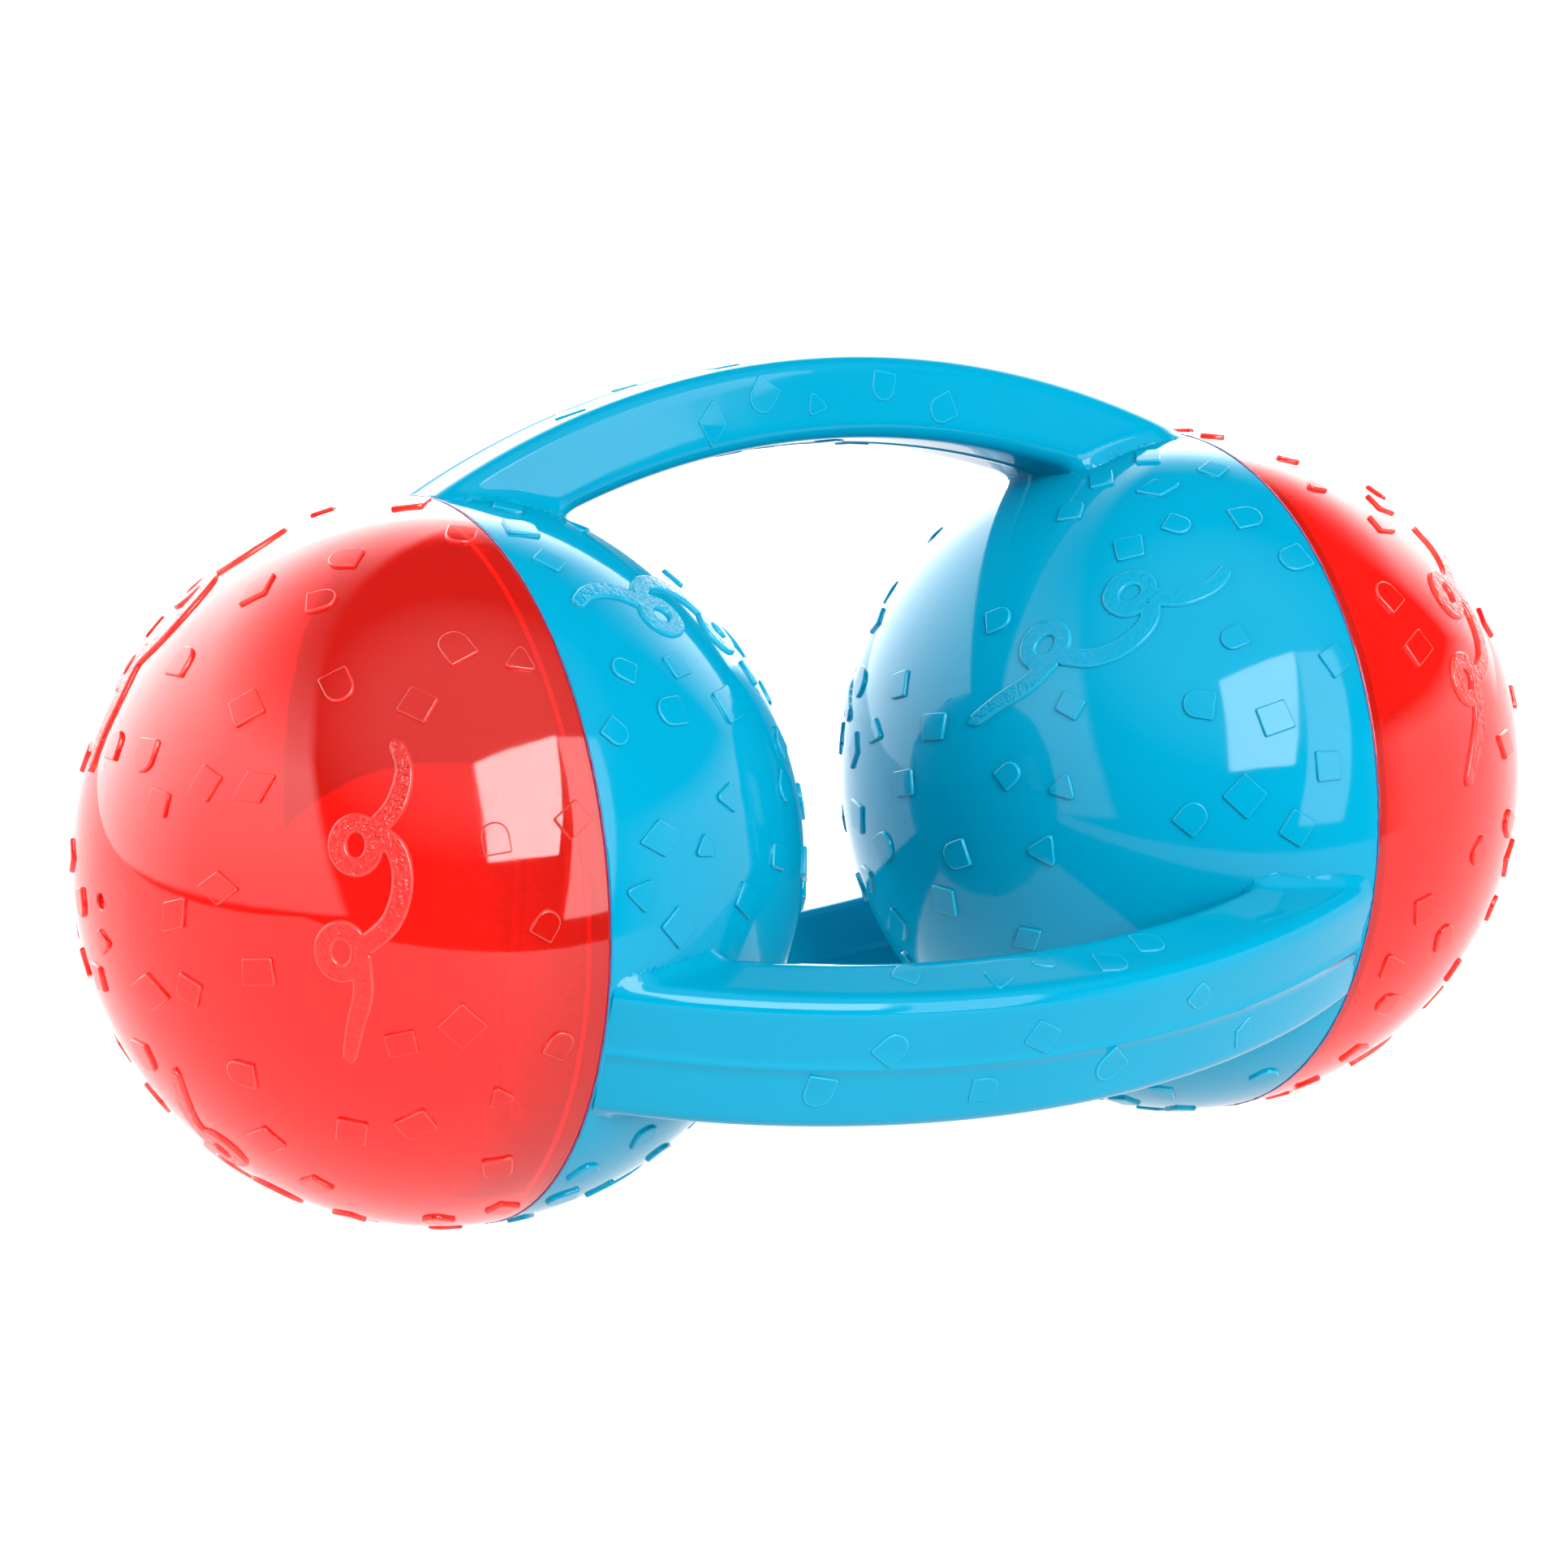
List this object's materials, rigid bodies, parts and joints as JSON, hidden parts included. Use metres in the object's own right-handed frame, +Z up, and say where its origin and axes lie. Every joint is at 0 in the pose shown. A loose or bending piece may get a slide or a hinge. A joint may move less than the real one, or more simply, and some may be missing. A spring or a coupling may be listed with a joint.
{
  "type": "dumbbell rattle toy",
  "caption": "Dumbbell-shaped toss rattle: two hollow balls with clear caps, each holding a loose ball, joined by bowed grab handles.",
  "frame": {"origin": "on the resting surface, under the middle of the object's box", "axes": "+X from the left ball to the right ball, +Z up as the object rests on its two balls, with the top handle leaning towards +Y"},
  "size_m": [0.2438, 0.13, 0.1263],
  "materials": {
    "clear_red": "glossy see-through red soft moulding",
    "soft_blue": "glossy sky blue soft moulding",
    "yellow_felt": "brushed felt",
    "grey_rubber": "matt moulded rubber",
    "natural_plastic": "milky natural plastic",
    "reed_film": "thin clear film"
  },
  "bodies": {
    "shell": {"top_handle": "soft_blue", "front_handle": "soft_blue", "back_handle": "soft_blue", "left_cap": "clear_red", "left_cup": "soft_blue", "left_squeaker_barrel": "natural_plastic", "left_squeaker_plug": "natural_plastic", "left_squeaker_reed": "reed_film", "right_cap": "clear_red", "right_cup": "soft_blue", "right_squeaker_barrel": "natural_plastic", "right_squeaker_plug": "natural_plastic", "right_squeaker_reed": "reed_film"},
    "left_loose_ball": {"left_core_a": "grey_rubber", "left_core_b": "grey_rubber", "left_felt_a": "yellow_felt", "left_felt_b": "yellow_felt"},
    "right_loose_ball": {"right_core_a": "grey_rubber", "right_core_b": "grey_rubber", "right_felt_a": "yellow_felt", "right_felt_b": "yellow_felt"}
  },
  "joints": [
    {"name": "left_ball_roll", "type": "hinge", "parent": "shell", "child": "left_loose_ball", "pos_m": [-0.06695, 0.00479, 0.05483], "axis": [1, 0, 0], "continuous": true},
    {"name": "right_ball_roll", "type": "hinge", "parent": "shell", "child": "right_loose_ball", "pos_m": [0.06695, 0.00479, 0.05483], "axis": [1, 0, 0], "continuous": true}
  ]
}
